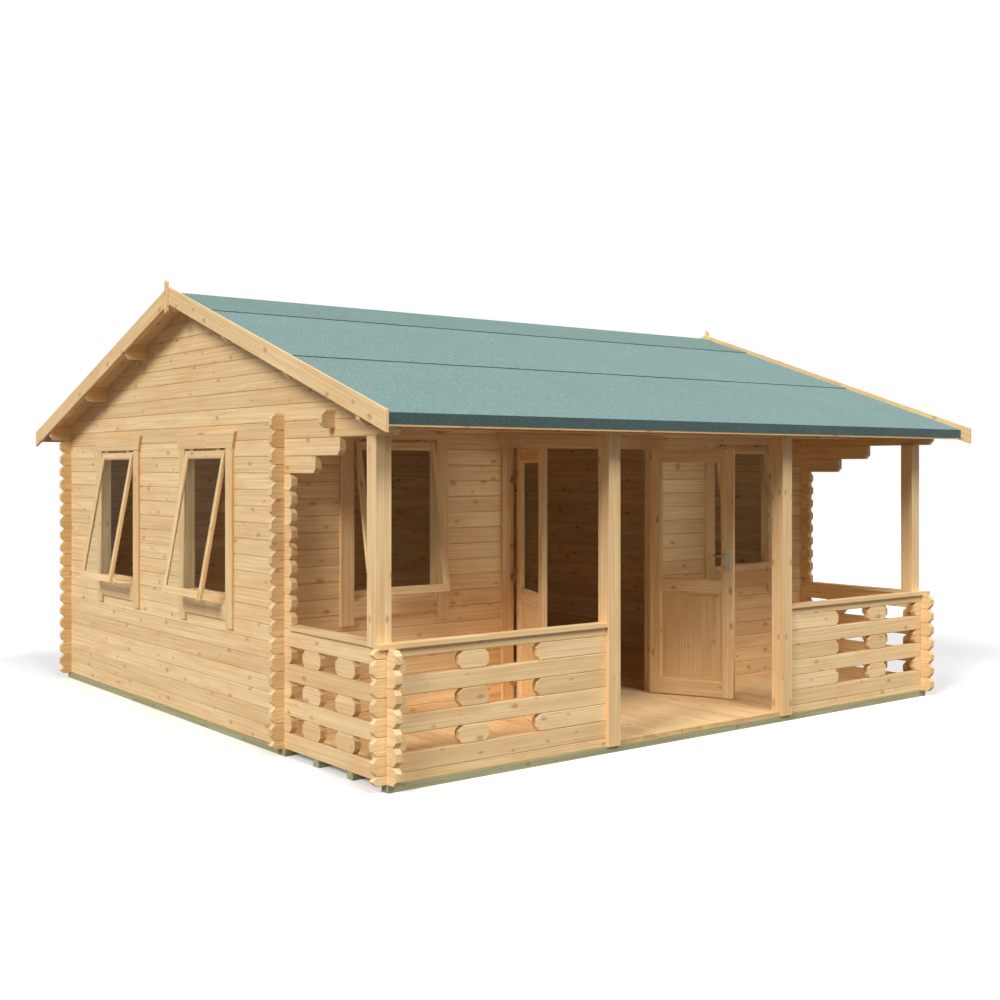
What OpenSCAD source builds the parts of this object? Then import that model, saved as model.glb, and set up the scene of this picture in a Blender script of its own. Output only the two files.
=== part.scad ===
// Log cabin with a veranda under one gable roof, all sizes in millimetres.
// The front looks along -Y, the ridge runs along X, the bearers stand on Z = 0.

/* [Walls] */
// Distance between the outer faces of opposite walls, the same both ways
wall_span = 5330; // [4800:10:6000]
// Depth of the veranda, from the front wall's face to the front rail's face
veranda = 1250; // [1100:10:1500]
// Thickness of a log
log_t = 45; // [40:1:60]
// Height that one log adds to a wall
course = 114; // [108:1:122]
// Length of a log end past the corner
log_end = 95; // [70:1:120]
// Chamfer at the top and bottom of a log end
end_chamfer = 33; // [20:1:40]
// Chamfer on the long edges of a log
groove = 5; // [3:0.5:8]

/* [Floor] */
// Height of a bearer
bearer_h = 45; // [40:1:70]
// Width of a bearer
bearer_w = 70; // [60:1:90]
// Gap between the deck boards and the posts
deck_gap = 4; // [2:0.5:8]
// Thickness of the floor and deck boards
floor_t = 28; // [20:1:32]

/* [Roof] */
// Pitch of both slopes in degrees
roof_pitch = 18.8; // [16:0.1:21]
// Overhang past the front rail and the back wall
eave_overhang = 230; // [200:5:340]
// Length of the barge boards past the eaves
barge_out = 80; // [40:5:120]
// Overhang past the gable walls
gable_overhang = 206; // [170:2:240]
// Gap between the logs and the roof boards on them
seat_gap = 0.3; // [0.1:0.1:0.6]
// Thickness of the roof boards
board_t = 19; // [16:1:24]
// Thickness of the roofing felt
felt_t = 4; // [3:0.5:6]
// Width of a barge board
barge_w = 120; // [100:2:140]
// Thickness of a barge board
barge_t = 20; // [16:1:26]
// Height of the barge board over the felt
barge_proud = 36; // [10:1:45]
// Thickness of the fascia along the eaves
fascia_t = 16; // [12:1:20]
// Height of the fascia along the eaves
fascia_h = 78; // [60:1:90]
// Height of a finial at the ridge
finial_h = 250; // [200:2:280]
// Width of a finial
finial_w = 36; // [30:1:60]
// Height of a finial over the barge boards
finial_up = 48; // [40:1:70]

/* [Veranda] */
// Side of a square post
post_w = 105; // [90:1:120]
// Distance of the entry posts from the middle
post_x = 881; // [840:5:930]
// Length of a spacer block in the rails
block_len = 230; // [180:5:260]
// How far the blocks of a side rail lie towards the wall
block_back = 38; // [0:2:60]
// Reach of a corner stub behind the rail's outer face
stub_in = 137; // [110:1:160]
// Width of the handrail
rail_w = 90; // [80:1:100]
// Length of the front handrail past the gable wall
rail_out = 57; // [30:1:80]
// Thickness of the handrail
rail_t = 28; // [20:1:34]

/* [Windows] */
// Width of the hole in the logs
win_hole = 724; // [660:2:780]
// Thickness of the frame boards at the sides
win_jamb = 22; // [16:1:30]
// Reach of the frame boards into the room
frame_in = 16; // [14:1:24]
// Width of a casing board
casing_w = 105; // [90:1:115]
// Thickness of a casing board
casing_t = 20; // [16:1:24]
// How far the upper corners of a head board stand out past the casing
head_out = 48; // [18:1:60]
// Width of the sash stiles
sash_bar = 40; // [36:1:60]
// Height of the sash rails
sash_rail = 50; // [40:1:65]
// Thickness of the sash
sash_t = 27; // [24:1:32]
// How far the sash's top stands out past the logs' face
sash_out = 18; // [14:1:20]
// Gap over and under a sash
sash_gap = 6; // [5:0.5:8]
// Gap on each side of a sash
sash_side = 8; // [5:0.5:10]
// Distance from a sash to the casing's edge
casing_back = 13; // [8:1:16]
// Length of a sash hinge
hinge_l = 70; // [50:1:90]
// Angle that the sash stands open
sash_open = 10.5; // [4:0.5:15]
// Distance of the front windows from the middle
front_win_x = 1795; // [1740:1:1830]
// Place of the rear gable window, from the middle of the plan
gable_win_back = 1475; // [1400:5:1540]
// Place of the fore gable window, from the middle of the plan
gable_win_fore = -225; // [-290:5:-150]

/* [Door] */
// Distance between the two hinge axes
door_span = 1427; // [1340:1:1460]
// Place of the doorway, from the middle of the front wall
door_mid = -30; // [-60:1:60]
// Thickness of a door leaf
leaf_t = 40; // [34:1:46]
// Width of the stiles and of the top rail
stile_w = 94; // [80:1:110]
// Height of the leaf's foot rail
foot_rail = 120; // [90:5:150]
// Height of the leaf's middle rail
mid_rail = 90; // [70:2:120]
// Depth of the panel behind the leaf's faces
panel_in = 11; // [6:1:13]
// Angle that the leaves stand open
door_open = 114; // [90:1:120]
// Gap round a leaf
leaf_gap = 6; // [6:0.5:8]
// Gap under a leaf
leaf_under = 7; // [6:0.5:12]
// Width of the stop that a closed leaf lies against
stop_w = 8; // [6:1:16]
// Width of the jamb
jamb_w = 60; // [50:1:70]
// Thickness of the glass
glass_t = 6; // [4:1:8]
// Distance of the hinge axis from the leaf's outer face
hinge_out = 12; // [12:0.5:16]
// Radius of a hinge knuckle
knuckle_r = 7; // [5:0.5:7]
// Height of a hinge knuckle
knuckle_h = 45; // [30:1:60]
// Width of a lever's plate
plate_w = 40; // [30:1:46]
// Height of a lever's plate
plate_h = 185; // [160:5:240]
// Length of a lever
lever_l = 110; // [90:1:130]
// Thickness of a lever
lever_d = 18; // [14:1:22]

/* [Hidden] */
half = wall_span / 2;
yf = veranda - half;
yb = half - log_t;
log_y_end = half + log_end;
tanp = tan(roof_pitch);
cosp = cos(roof_pitch);
// courses of the wall under the windows, to the corbels and to the top of the piers
k_low = 8;
k_corbel = 16;
k_gable = 18;
k_front_low = 8.5;
k_front_top = 18.5;
k_rail = 7;
// underside of the roof boards at the ridge
apex = bearer_h + 19.58 * course + half * tanp;
board_v = board_t / cosp;
felt_v = felt_t / cosp;
barge_v = barge_w / cosp;
roof_x = half + gable_overhang - barge_t;
roof_y = half + eave_overhang;
board_y = roof_y - fascia_t - felt_t - 4;
barge_y = roof_y + barge_out;
k_top = ceil((apex - bearer_h) / course);
// last joint of the front wall under the slope
k_front_roof = k_front_top + floor((apex - abs(yf) * tanp - bearer_h) / course - k_front_top - 0.3);
purlin_step = (half - log_t / 2) / 3;
corbel_high = 6.26 * course;
corbel_low = 3.6 * course;
// sash and leaf heights
sash_top = bearer_h + 17.44 * course;
sash_low = bearer_h + 8.03 * course;
sash_w = win_hole - 2 * win_jamb - 2 * sash_side;
sash_h = sash_top - sash_low;
sill_top = bearer_h + 8.38 * course;
casing_in = sash_w / 2 + casing_back;
stop_in = sash_t - sash_out + sash_gap;
casing_out = casing_in + casing_w;
head_low = bearer_h + 17.58 * course;
door_head = bearer_h + 17.66 * course;
head_high = bearer_h + 18.6 * course;
deck_top = bearer_h + floor_t;
leaf_low = deck_top + leaf_under;
leaf_top = bearer_h + 17.6 * course;
leaf_h = leaf_top - leaf_low;
hinge_x = door_span / 2;
hinge_y = yf - casing_t - hinge_out;
stop_y = hinge_y + hinge_out + leaf_t + leaf_gap + 1;
leaf_w = hinge_x - leaf_gap;
jamb_in = hinge_x + leaf_gap / 2;
door_hole = jamb_in + jamb_w;
door_casing_out = jamb_in + casing_w;
leaf_mid = leaf_low + 0.446 * leaf_h;

function zc(k) = bearer_h + k * course;
function roof_z(y) = apex - abs(y) * tanp;
function span(a, b) = [for (k = [a : 1 : b]) k];
function per(v, i) = is_list(v) ? v[i] : v;

// Outline of the low ends of logs on each other, going up; c is 1 where an end is chamfered,
// sq is 1 where only its lower corner is
function ends_up(v, ks, c, sq) = [for (i = [0 : 1 : len(ks) - 2])
  let (x = per(v, i), z0 = zc(ks[i]), z1 = zc(ks[i + 1]),
    a = per(c, i) * min(end_chamfer, (z1 - z0) / 2 - 1))
  each [[x + a, z0], [x, z0 + a], [x, z1 - (1 - sq) * a], [x + (1 - sq) * a, z1]]];

function flip(pts) = [for (i = [len(pts) - 1 : -1 : 0]) [-pts[i][0], pts[i][1]]];
function neg(v) = is_list(v) ? [for (x = v) -x] : -v;

// Logs along X on each other, between the course heights in ks; lo, hi, c0 and c1 are one value for all
// or one for each log
module logs_x(lo, hi, y0, ks, c0 = 1, c1 = 1, sq = 0) {
  side = ends_up(-log_t / 2, ks, groove / end_chamfer, 0);
  intersection() {
    translate([0, y0 + log_t, 0])
      rotate([90, 0, 0])
        linear_extrude(log_t)
          polygon(concat(ends_up(lo, ks, c0, sq), flip(ends_up(neg(hi), ks, c1, 0))));
    translate([-2 * half, y0 + log_t / 2, 0])
      rotate([90, 0, 90])
        linear_extrude(4 * half)
          polygon(concat(side, flip(side)));
  }
}

// The same logs along Y
module logs_y(lo, hi, x0, ks, c0 = 1, c1 = 1, sq = 0) {
  mirror([1, -1, 0])
    logs_x(lo, hi, x0, ks, c0, c1, sq);
}

// Wall logs along Y; every other log below the handrail goes on square into the side rail
module wall_y(x0, ks) {
  logs_y(yf - log_end, log_y_end, x0, ks, [for (k = ks) k < k_rail && k % 2 == 0 ? 0 : 1], 1);
}

// Places in a corner where the logs along X lie, cut from the logs along Y
module x_layers(x0, y0, top) {
  for (k = [0 : 1 : 19])
    if (k - 0.25 < top)
      translate([x0 - 1, y0, zc(max(k - 0.25, -0.1))])
        cube([log_t + 2, log_t, zc(min(k + 0.25, top)) - zc(max(k - 0.25, -0.1))]);
}

// Places in a corner where the logs along Y lie, cut from the logs along X
module y_layers(x0, y0, top) {
  for (k = [0 : 1 : 19])
    if (k + 0.25 < top)
      translate([x0, y0 - 1, zc(k + 0.25)])
        cube([log_t, log_t + 2, zc(min(k + 0.75, top)) - zc(k + 0.25)]);
}

// Everything under the roof boards
module under_roof() {
  translate([-2 * half, 0, 0])
    rotate([90, 0, 90])
      linear_extrude(4 * half)
        polygon([[-roof_y, 0], [roof_y, 0], [roof_y, roof_z(roof_y) - seat_gap], [0, apex - seat_gap],
          [-roof_y, roof_z(roof_y) - seat_gap]]);
}

// Prism along X from a shape drawn in Y and Z
module along_x(x0, x1, pts) {
  translate([x0, 0, 0])
    rotate([90, 0, 90])
      linear_extrude(x1 - x0)
        polygon(pts);
}

// Copies on both sides of the middle
module both_x() {
  children();
  mirror([1, 0, 0])
    children();
}

module both_y() {
  children();
  mirror([0, 1, 0])
    children();
}

// Puts a part of the left side of the door, drawn about the middle, at the doorway's place
module at_door() {
  translate([door_mid, 0, 0])
    children();
}

// The same part on the right side
module at_door_right() {
  at_door()
    mirror([1, 0, 0])
      children();
}

// Puts a window part, drawn at a wall along X, at all four places; the logs of the front wall lie half a
// course higher, and so do its windows
module at_windows() {
  for (s = [-1, 1])
    translate([s * front_win_x, yf, course / 2])
      children();
  for (y = [gable_win_fore, gable_win_back])
    translate([-half, y, 0])
      rotate([0, 0, -90])
        children();
}

module side_bearers() {
  color([0.62, 0.6, 0.46])
    both_x()
      translate([-half + log_t / 2 - bearer_w / 2, yf - 30, 0])
        cube([bearer_w, half - yf + 30, bearer_h]);
}

module cross_bearers() {
  xs = half - log_t / 2 - bearer_w / 2;
  y0 = yf + log_t / 2;
  y1 = yb + log_t / 2;
  color([0.62, 0.6, 0.46]) {
    for (i = [0 : 6])
      translate([-xs, y0 + (y1 - y0) * i / 6 - bearer_w / 2, 0])
        cube([2 * xs, bearer_w - (i == 6 ? bearer_w / 2 - log_t / 2 : 0), bearer_h]);
    for (y = [-half + log_t / 2, yf - veranda * 2 / 3, yf - veranda / 3])
      translate([-half, y - bearer_w / 2, 0])
        cube([2 * half, bearer_w, bearer_h]);
  }
}

module cabin_floor() {
  color([0.86, 0.72, 0.52])
    translate([-half + log_t, yf + log_t, bearer_h])
      cube([2 * half - 2 * log_t, yb - yf - log_t, floor_t]);
}

module veranda_deck() {
  color([0.86, 0.72, 0.52])
    translate([0, 0, bearer_h])
      linear_extrude(floor_t) {
        difference() {
          translate([-half + log_t, -half + log_t])
            square([2 * half - 2 * log_t, veranda - log_t]);
          both_x()
            translate([post_x - post_w / 2 - deck_gap, -half])
              square([post_w + 2 * deck_gap, log_t / 2 + post_w / 2 + deck_gap]);
        }
        translate([-post_x + post_w / 2 + deck_gap, -half])
          square([2 * post_x - post_w - 2 * deck_gap, log_t + 1]);
      }
}

// Logs under the gable windows; every other log goes on as a rail of the veranda
module left_wall_low() {
  color([0.9, 0.76, 0.56])
    difference() {
      wall_y(-half, span(0, k_low));
      x_layers(-half, yf, k_front_top);
      x_layers(-half, yb, k_front_top);
    }
}

module left_wall_piers() {
  color([0.9, 0.76, 0.56])
    difference() {
      union() {
        logs_y(yf - log_end, gable_win_fore - win_hole / 2, -half, span(k_low, k_corbel), 1, 0);
        logs_y(gable_win_fore + win_hole / 2, gable_win_back - win_hole / 2, -half,
          span(k_low, k_gable), 0, 0);
        logs_y(gable_win_back + win_hole / 2, log_y_end, -half, span(k_low, k_gable), 0, 1);
      }
      x_layers(-half, yf, k_front_top);
      x_layers(-half, yb, k_front_top);
    }
}

// Two logs that step out over the veranda
module corbels(x0, y1, c1) {
  difference() {
    logs_y([yf - corbel_low, yf - corbel_high], y1, x0, span(k_corbel, k_gable), 1, c1, 1);
    x_layers(x0, yf, k_front_top);
    x_layers(x0, yb, k_front_top);
  }
}

module corbel_logs() {
  color([0.9, 0.76, 0.56]) {
    corbels(-half, gable_win_fore - win_hole / 2, 0);
    corbels(half - log_t, log_y_end, 1);
  }
}

// Gable over the wall, with places for the purlins
module gable(x0) {
  difference() {
    intersection() {
      logs_y(-log_y_end, log_y_end, x0, span(k_gable, k_top));
      under_roof();
    }
    x_layers(x0, yf, k_gable + 0.25);
    x_layers(x0, yb, k_gable + 0.25);
    translate([x0 - 1, yf, zc(k_front_top)])
      cube([log_t + 2, log_t, course]);
    translate([x0 - 1, tie_y, zc(k_front_top)])
      cube([log_t + 2, log_t, course]);
    for (y = [-half, yb])
      translate([x0 - 1, y, zc(k_front_top)])
        cube([log_t + 2, log_t, 3 * course]);
    for (i = [-2 : 2])
      translate([x0 - 1, i * purlin_step - log_t / 2, roof_z(i * purlin_step) - course])
        cube([log_t + 2, log_t, 2 * course]);
  }
}

tie_y = yf - 5.77 * course;

module left_gable() {
  color([0.9, 0.76, 0.56])
    gable(-half);
}

module right_gable() {
  color([0.9, 0.76, 0.56])
    gable(half - log_t);
}

module right_wall() {
  color([0.9, 0.76, 0.56])
    difference() {
      wall_y(half - log_t, span(0, k_corbel));
      x_layers(half - log_t, yf, k_front_top);
      x_layers(half - log_t, yb, k_front_top);
    }
}

module back_wall() {
  color([0.88, 0.73, 0.53])
    difference() {
      logs_x(-log_y_end, log_y_end, yb, concat([0], span(0.5, k_front_top)));
      y_layers(-half, yb, k_front_top);
      y_layers(half - log_t, yb, k_front_top);
    }
}

module front_wall_low() {
  color([0.88, 0.73, 0.53])
    for (m = [0, 1])
      mirror([m, 0, 0])
        difference() {
          logs_x(-log_y_end, (1 - 2 * m) * door_mid - door_hole, yf,
            concat([0], span(0.5, k_front_low)), 1, 0);
          y_layers(-half, yf, k_front_top);
        }
}

module front_wall_piers() {
  color([0.88, 0.73, 0.53])
    for (m = [0, 1])
      mirror([m, 0, 0])
        difference() {
          union() {
            logs_x(-log_y_end, -front_win_x - win_hole / 2, yf, span(k_front_low, k_front_top), 1, 0);
            logs_x(-front_win_x + win_hole / 2, (1 - 2 * m) * door_mid - door_hole, yf,
              span(k_front_low, k_front_top), 0, 0);
          }
          y_layers(-half, yf, k_front_top);
        }
}

module front_wall_top() {
  ks = concat(span(k_front_top, k_front_roof), [k_top + 1]);
  color([0.88, 0.73, 0.53]) {
    intersection() {
      logs_x([for (k = ks) k == k_front_top ? -log_y_end : -half + log_t],
        [for (k = ks) k == k_front_top ? log_y_end : half - log_t], yf, ks,
        [for (k = ks) k == k_front_top ? 1 : 0], [for (k = ks) k == k_front_top ? 1 : 0]);
      under_roof();
    }
  }
}

// Log or purlin under the roof with the ends out to the barge boards
module roof_log(yc, z0) {
  c = end_chamfer;
  intersection() {
    translate([0, yc + log_t / 2, 0])
      rotate([90, 0, 0])
        linear_extrude(log_t)
          polygon([[-roof_x + c, z0], [roof_x - c, z0], [roof_x, z0 + c], [roof_x, apex], [-roof_x, apex],
            [-roof_x, z0 + c]]);
    under_roof();
  }
}

// Logs along the eaves, and the tie log over the veranda
module eave_logs() {
  color([0.88, 0.73, 0.53])
    for (y = [-half + log_t / 2, yb + log_t / 2])
      roof_log(y, zc(k_front_top));
  color([0.88, 0.73, 0.53])
    logs_x(-log_y_end, log_y_end, tie_y, span(k_front_top, k_front_top + 1));
}

module roof_purlins() {
  color([0.88, 0.73, 0.53])
    for (i = [-2 : 2])
      roof_log(i * purlin_step, roof_z(i * purlin_step) - course);
}

module side_rail_logs() {
  color([0.9, 0.76, 0.56])
    both_x()
      difference() {
        for (k = [0 : 2 : k_rail - 1])
          logs_y(-log_y_end, yf - log_end, -half, [k, k + 1], 1, 0);
        x_layers(-half, -half, k_rail);
      }
}

module side_rail_blocks() {
  free = veranda - log_end - stub_in;
  gap = (free - 2 * block_len) / 3;
  stub = block_back - half + stub_in;
  color([0.9, 0.76, 0.56])
    both_x()
      difference() {
        for (k = [1 : 2 : k_rail - 1]) {
          logs_y(-log_y_end, stub, -half, [k, k + 1]);
          for (i = [0, 1])
            logs_y(stub + gap + i * (gap + block_len), stub + (i + 1) * (gap + block_len), -half, [k, k + 1]);
        }
        x_layers(-half, -half, k_rail);
      }
}

module front_rail_logs() {
  x1 = -post_x - post_w / 2;
  color([0.88, 0.73, 0.53])
    both_x()
      difference() {
        union() {
          logs_x(-log_y_end, x1, -half, [0, 0.5, 1.5], 1, 0);
          for (k = [2.5 : 2 : 4.5])
            logs_x(-log_y_end, x1, -half, [k, k + 1], 1, 0);
          logs_x(-log_y_end, x1, -half, [6.5, k_rail], 1, 0);
        }
        y_layers(-half, -half, k_rail);
      }
}

module front_rail_blocks() {
  x1 = -post_x - post_w / 2;
  gap = (x1 + half - stub_in - block_len) * 0.282;
  b0 = -half + stub_in + gap;
  color([0.88, 0.73, 0.53])
    both_x()
      difference() {
        for (k = [1.5 : 2 : 5.5]) {
          logs_x(-log_y_end, -half + stub_in, -half, [k, k + 1]);
          logs_x(b0, b0 + block_len, -half, [k, k + 1]);
          logs_x(b0 + block_len + gap, x1, -half, [k, k + 1], 1, 0);
        }
        y_layers(-half, -half, k_rail);
      }
}

module handrails() {
  color([0.92, 0.78, 0.58])
    both_x() {
      translate([-half - rail_out, -half + log_t / 2 - rail_w / 2, zc(k_rail)])
        cube([half + rail_out - post_x - post_w / 2, rail_w, rail_t]);
      translate([-half + log_t / 2 - rail_w / 2, corner_post_y + post_w, zc(k_rail)])
        cube([rail_w, yf - log_end - corner_post_y - post_w, rail_t]);
    }
}

corner_post_y = -half + log_t / 2 + rail_w / 2;

module veranda_posts() {
  color([0.92, 0.78, 0.58])
    both_x() {
      translate([-post_x - post_w / 2, -half + log_t / 2 - post_w / 2, bearer_h])
        cube([post_w, post_w, zc(k_front_top) - bearer_h]);
      translate([-half + log_t / 2 - post_w / 2, corner_post_y, zc(k_rail)])
        cube([post_w, post_w, zc(k_gable) - zc(k_rail)]);
    }
}

// Side boards of the window frames and of the door frame
module frame_jambs() {
  color([0.9, 0.76, 0.56]) {
    at_windows()
      both_x()
        translate([-win_hole / 2, 0, zc(k_low)])
          cube([win_jamb, log_t + frame_in, zc(k_gable) - zc(k_low)]);
    at_door()
      both_x() {
        translate([-door_hole, yf, deck_top])
          cube([jamb_w, log_t, leaf_top + leaf_gap - deck_top]);
        translate([-jamb_in - 1, stop_y, deck_top])
          cube([stop_w + 1, yf + log_t - stop_y, leaf_top + leaf_gap - deck_top]);
      }
  }
}

// Heads and sills of the window frames, head and threshold of the door frame
module frame_heads() {
  w = win_hole - 2 * win_jamb;
  color([0.9, 0.76, 0.56]) {
    at_windows() {
      translate([-w / 2, 0, sash_top + sash_gap])
        cube([w, log_t + frame_in, zc(k_gable) - sash_top - sash_gap]);
      translate([-w / 2, stop_in, zc(k_low)])
        cube([w, log_t + frame_in - stop_in, sill_top - zc(k_low)]);
    }
    at_door() {
      translate([-door_hole, yf, leaf_top + leaf_gap])
        cube([2 * door_hole, log_t, zc(k_front_top) - leaf_top - leaf_gap]);
      translate([-door_hole, yf, bearer_h])
        cube([2 * door_hole, log_t, floor_t]);
    }
  }
}

module casing_sides() {
  color([0.93, 0.79, 0.59]) {
    at_windows()
      both_x()
        translate([-casing_out, -casing_t, zc(6.3)])
          cube([casing_w, casing_t, head_low - zc(6.3)]);
    at_door()
      both_x()
        translate([-door_casing_out, yf - casing_t, deck_top])
          cube([casing_w, casing_t, door_head - deck_top]);
  }
}

// Head board with slanted ends
module head_board(w, low) {
  rotate([90, 0, 0])
    linear_extrude(casing_t + 4)
      polygon([[-w - head_out / 6, low], [w + head_out / 6, low],
        [w + head_out, head_high], [-w - head_out, head_high]]);
}

module casing_heads() {
  color([0.93, 0.79, 0.59]) {
    at_windows() {
      head_board(casing_out, head_low);
      translate([-casing_in, -casing_t, zc(6.8)])
        cube([2 * casing_in, casing_t, 0.98 * course]);
    }
    at_door()
      translate([0, yf, 0])
        head_board(door_casing_out, door_head);
  }
}

// Sash hung at its top edge and tilted out
module sash_place() {
  translate([0, -sash_out, sash_top])
    rotate([-sash_open, 0, 0])
      translate([-sash_w / 2, 0, -sash_h])
        children();
}

module window_sashes() {
  color([0.9, 0.76, 0.56])
    at_windows()
      sash_place()
        difference() {
          cube([sash_w, sash_t, sash_h]);
          translate([sash_bar, -1, sash_rail])
            cube([sash_w - 2 * sash_bar, sash_t + 2, sash_h - 2 * sash_rail]);
        }
}

module window_glass() {
  color([0.75, 0.82, 0.84, 0.5])
    at_windows()
      sash_place()
        translate([sash_bar, sash_t / 2 - glass_t / 2, sash_rail])
          cube([sash_w - 2 * sash_bar, glass_t, sash_h - 2 * sash_rail]);
}

// Places the left leaf, drawn along +X from its hinge axis, at its open angle
module leaf_place() {
  translate([-hinge_x, hinge_y, leaf_low])
    rotate([0, 0, -door_open])
      translate([leaf_gap / 2, hinge_out, 0])
        children();
}

module leaf() {
  glass_low = leaf_mid - leaf_low + mid_rail / 2;
  glass_high = leaf_h - stile_w;
  panel_high = leaf_mid - leaf_low - mid_rail / 2;
  color([0.9, 0.76, 0.56])
    leaf_place()
      difference() {
        cube([leaf_w, leaf_t, leaf_h]);
        translate([stile_w, -1, glass_low])
          cube([leaf_w - 2 * stile_w, leaf_t + 2, glass_high - glass_low]);
        for (y = [-1, leaf_t - panel_in])
          translate([stile_w, y, foot_rail])
            cube([leaf_w - 2 * stile_w, panel_in + 1, panel_high - foot_rail]);
      }
}

module leaf_glass() {
  glass_low = leaf_mid - leaf_low + mid_rail / 2;
  glass_high = leaf_h - stile_w;
  color([0.75, 0.82, 0.84, 0.5])
    leaf_place()
      translate([stile_w, leaf_t / 2 - glass_t / 2, glass_low])
        cube([leaf_w - 2 * stile_w, glass_t, glass_high - glass_low]);
}

module left_door_leaf() {
  at_door()
    leaf();
}

module left_door_glass() {
  at_door()
    leaf_glass();
}

module right_door_leaf() {
  at_door_right()
    leaf();
}

module right_door_glass() {
  at_door_right()
    leaf_glass();
}

// Lever on a long plate, outside and inside
module door_handle() {
  xh = leaf_w - stile_w / 2;
  zh = 10.16 * course - floor_t;
  color([0.75, 0.75, 0.77])
    at_door_right()
      leaf_place()
        for (s = [0, 1])
          translate([xh, s * leaf_t, zh])
            mirror([0, 1 - s, 0]) {
              translate([-plate_w / 2, 0, -plate_h * 0.68])
                cube([plate_w, 8, plate_h]);
              translate([0, 7, 0])
                rotate([-90, 0, 0])
                  cylinder(d = lever_d, h = 34, $fn = 24);
              translate([-lever_l, 32, -lever_d / 2])
                cube([lever_l + lever_d / 2, 14, lever_d]);
            }
}

// Places the hinge halves at three heights on the left hinge axis
module hinge_heights() {
  for (z = [0.1, 0.5, 0.87])
    translate([-hinge_x, hinge_y, leaf_low + z * leaf_h])
      children();
}

// Knuckle with a plate to one side, against the face behind it
module hinge_half(side) {
  cylinder(r = knuckle_r, h = knuckle_h, $fn = 24);
  mirror([side < 0 ? 1 : 0, 0, 0])
    translate([leaf_gap / 2 + 2, 3, 0])
      cube([30, hinge_out - 3, knuckle_h]);
}

module frame_hinges() {
  color([0.75, 0.75, 0.77])
    at_door()
      both_x()
        hinge_heights()
          hinge_half(-1);
}

// Hinge halves that turn with the left leaf
module leaf_hinges() {
  color([0.75, 0.75, 0.77])
    hinge_heights()
      translate([0, 0, knuckle_h])
        rotate([0, 0, -door_open])
          hinge_half(1);
}

module left_door_hinges() {
  at_door()
    leaf_hinges();
}

module right_door_hinges() {
  at_door_right()
    leaf_hinges();
}

// Hinge blocks between the head board and the tilted top of the sash
module sash_hinges() {
  deep = sash_out * 0.9;
  color([0.75, 0.75, 0.77])
    at_windows()
      for (x = [-sash_w / 2 + hinge_l, sash_w / 2 - 2 * hinge_l])
        along_x(x, x + hinge_l, [[-sash_out, head_low], [deep - sash_out, head_low],
          [deep - sash_out, sash_top - deep * tan(sash_open)], [-sash_out, sash_top]]);
}

module roof_boards() {
  along_x(-roof_x, roof_x, [[0, apex], [board_y, roof_z(board_y)], [board_y, roof_z(board_y) + board_v],
    [0, apex + board_v]]);
}

module roof_boards_front() {
  color([0.88, 0.73, 0.53])
    mirror([0, 1, 0])
      roof_boards();
}

module roof_boards_back() {
  color([0.88, 0.73, 0.53])
    roof_boards();
}

// Felt over one slope and down over the fascia
module felt() {
  y1 = board_y + fascia_t;
  y2 = y1 + felt_t;
  drop = roof_z(y1) + board_v - fascia_h + 13;
  along_x(-roof_x, roof_x, [[0, apex + board_v], [y1, roof_z(y1) + board_v], [y1, drop], [y2, drop],
    [y2, roof_z(y2) + board_v + felt_v], [0, apex + board_v + felt_v]]);
}

module felt_front() {
  color([0.5, 0.63, 0.62])
    mirror([0, 1, 0])
      felt();
}

module felt_back() {
  color([0.5, 0.63, 0.62])
    felt();
}

module fascia_boards() {
  y1 = board_y + fascia_t;
  low = roof_z(y1) + board_v - fascia_h;
  color([0.93, 0.79, 0.59])
    both_y()
      along_x(-roof_x, roof_x, [[board_y, low], [y1, low], [y1, roof_z(y1) + board_v],
        [board_y, roof_z(board_y) + board_v]]);
}

module barge() {
  top = apex + board_v + felt_v + barge_proud;
  both_x()
    along_x(roof_x, roof_x + barge_t, [[0, top], [0, top - barge_v],
      [barge_y, top - barge_v - barge_y * tanp], [barge_y, top - barge_y * tanp]]);
}

module barge_front() {
  color([0.93, 0.79, 0.59])
    mirror([0, 1, 0])
      barge();
}

module barge_back() {
  color([0.93, 0.79, 0.59])
    barge();
}

module finials() {
  top = apex + board_v + felt_v + barge_proud + finial_up;
  r = finial_w / 2;
  low = top - finial_h;
  color([0.93, 0.79, 0.59])
    both_x()
      along_x(roof_x + barge_t, roof_x + 2 * barge_t, [[0, top], [-r, top - r], [-r, low + r],
        [0, low], [r, low + r], [r, top - r]]);
}

side_bearers();
cross_bearers();
cabin_floor();
veranda_deck();
left_wall_low();
left_wall_piers();
corbel_logs();
left_gable();
right_wall();
right_gable();
back_wall();
front_wall_low();
front_wall_piers();
front_wall_top();
eave_logs();
roof_purlins();
side_rail_logs();
side_rail_blocks();
front_rail_logs();
front_rail_blocks();
handrails();
veranda_posts();
frame_jambs();
frame_heads();
casing_sides();
casing_heads();
window_sashes();
window_glass();
left_door_leaf();
left_door_glass();
right_door_leaf();
right_door_glass();
door_handle();
frame_hinges();
left_door_hinges();
right_door_hinges();
sash_hinges();
roof_boards_front();
roof_boards_back();
felt_front();
felt_back();
fascia_boards();
barge_front();
barge_back();
finials();
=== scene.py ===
# %% [markdown]
# # A spruce log cabin with a veranda
# The cabin's walls are planed logs that cross at the corners, under a felted gable roof. Its logs, posts
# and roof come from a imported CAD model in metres, so this lesson starts from that frame. Each step then
# gives the bare solids the finish of the real wood, or builds a piece that the solids only stand for.

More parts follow.
